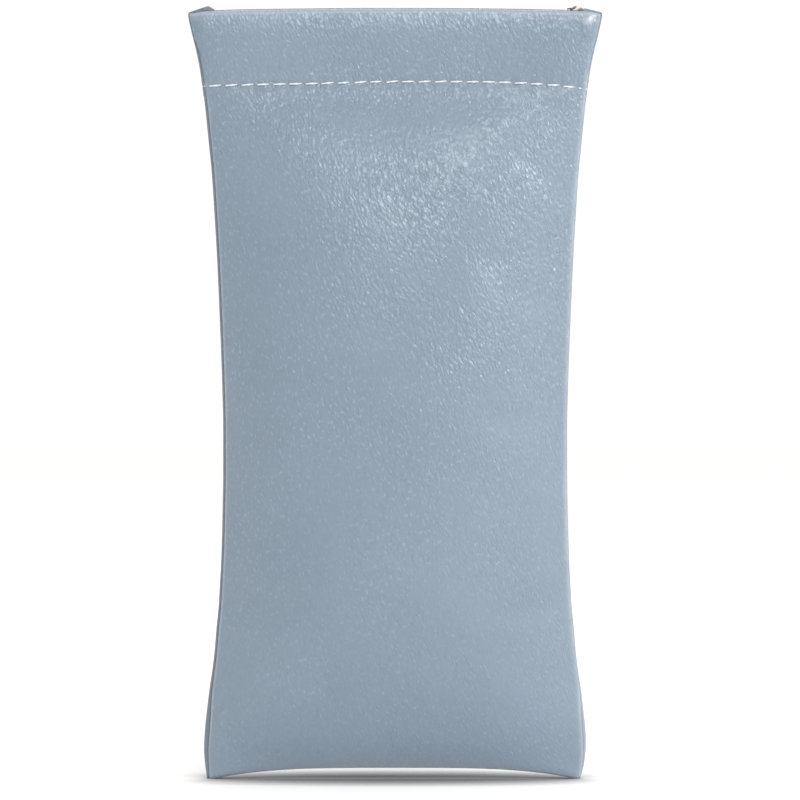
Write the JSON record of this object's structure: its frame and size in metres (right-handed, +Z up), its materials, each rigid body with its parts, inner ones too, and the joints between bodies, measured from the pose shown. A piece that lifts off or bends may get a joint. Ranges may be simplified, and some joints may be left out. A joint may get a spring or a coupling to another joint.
{
  "type": "soft pouch glasses case",
  "caption": "Upright soft spectacle pouch with a spring-closed mouth: lined grained panels, sewn top channels, and two hinged flat springs that bow open when the ends are squeezed.",
  "frame": {"origin": "centre of the base, on the plane that the two bottom corners stand on", "axes": "+Z up to the mouth, +X across the width to the right seen from the front, front face towards -Y"},
  "size_m": [0.0962, 0.035, 0.18],
  "materials": {
    "grey_blue_leather": "satin grained synthetic leather with small glints",
    "lining": "matte brushed fabric",
    "spring_steel": "bright rolled spring steel",
    "pin_steel": "drawn wire",
    "pale_thread": "twisted polyester sewing thread",
    "seam_thread": "twisted polyester sewing thread"
  },
  "bodies": {
    "pouch": {"front_panel": "grey_blue_leather", "back_panel": "grey_blue_leather", "front_lining": "lining", "back_lining": "lining", "bottom_seam_stitching": "seam_thread"},
    "left_end": {"left_hinge_pin": "pin_steel", "left_channel_end_tacks": "seam_thread", "left_seam_stitching": "seam_thread"},
    "right_end": {"right_hinge_pin": "pin_steel", "right_channel_end_tacks": "seam_thread", "right_seam_stitching": "seam_thread"},
    "front_left": {"front_spring_strip": "spring_steel"},
    "back_left": {"back_spring_strip": "spring_steel"},
    "front_right": {"front_channel_stitching": "pale_thread"},
    "back_right": {"back_channel_stitching": "pale_thread"}
  },
  "joints": [
    {"name": "left_end_squeeze", "type": "hinge", "parent": "pouch", "child": "left_end", "pos_m": [-0.044, 0, 0], "axis": [0, 1, 0], "range_deg": [0, 1.41]},
    {"name": "front_left_swing", "type": "hinge", "parent": "left_end", "child": "front_left", "pos_m": [-0.044, 0, 0], "axis": [0.9739, -0.2266, 0.012], "range_deg": [0, 6.2], "stiffness_Nm_per_rad": 0.6, "deforming": ["front_panel", "front_lining", "front_spring_strip"]},
    {"name": "back_left_swing", "type": "hinge", "parent": "left_end", "child": "back_left", "pos_m": [-0.044, 0, 0], "axis": [-0.9739, -0.2266, -0.012], "range_deg": [0, 6.21], "deforming": ["back_panel", "back_lining", "back_spring_strip"]},
    {"name": "right_end_squeeze", "type": "hinge", "parent": "pouch", "child": "right_end", "pos_m": [0.044, 0, 0], "axis": [0, -1, 0], "range_deg": [0, 1.41]},
    {"name": "front_right_swing", "type": "hinge", "parent": "right_end", "child": "front_right", "pos_m": [0.044, 0, 0], "axis": [0.9739, 0.2266, -0.012], "range_deg": [0, 6.21], "deforming": ["front_channel_stitching"]},
    {"name": "back_right_swing", "type": "hinge", "parent": "right_end", "child": "back_right", "pos_m": [0.044, 0, 0], "axis": [-0.9739, 0.2266, 0.012], "range_deg": [0, 6.21], "deforming": ["back_channel_stitching"]}
  ],
  "couplings": [
    {"joint": "left_end_squeeze", "follows": "front_left_swing", "ratio": 0.22686},
    {"joint": "back_left_swing", "follows": "front_left_swing", "ratio": 1},
    {"joint": "right_end_squeeze", "follows": "front_left_swing", "ratio": 0.22686},
    {"joint": "front_right_swing", "follows": "front_left_swing", "ratio": 1},
    {"joint": "back_right_swing", "follows": "front_left_swing", "ratio": 1}
  ]
}
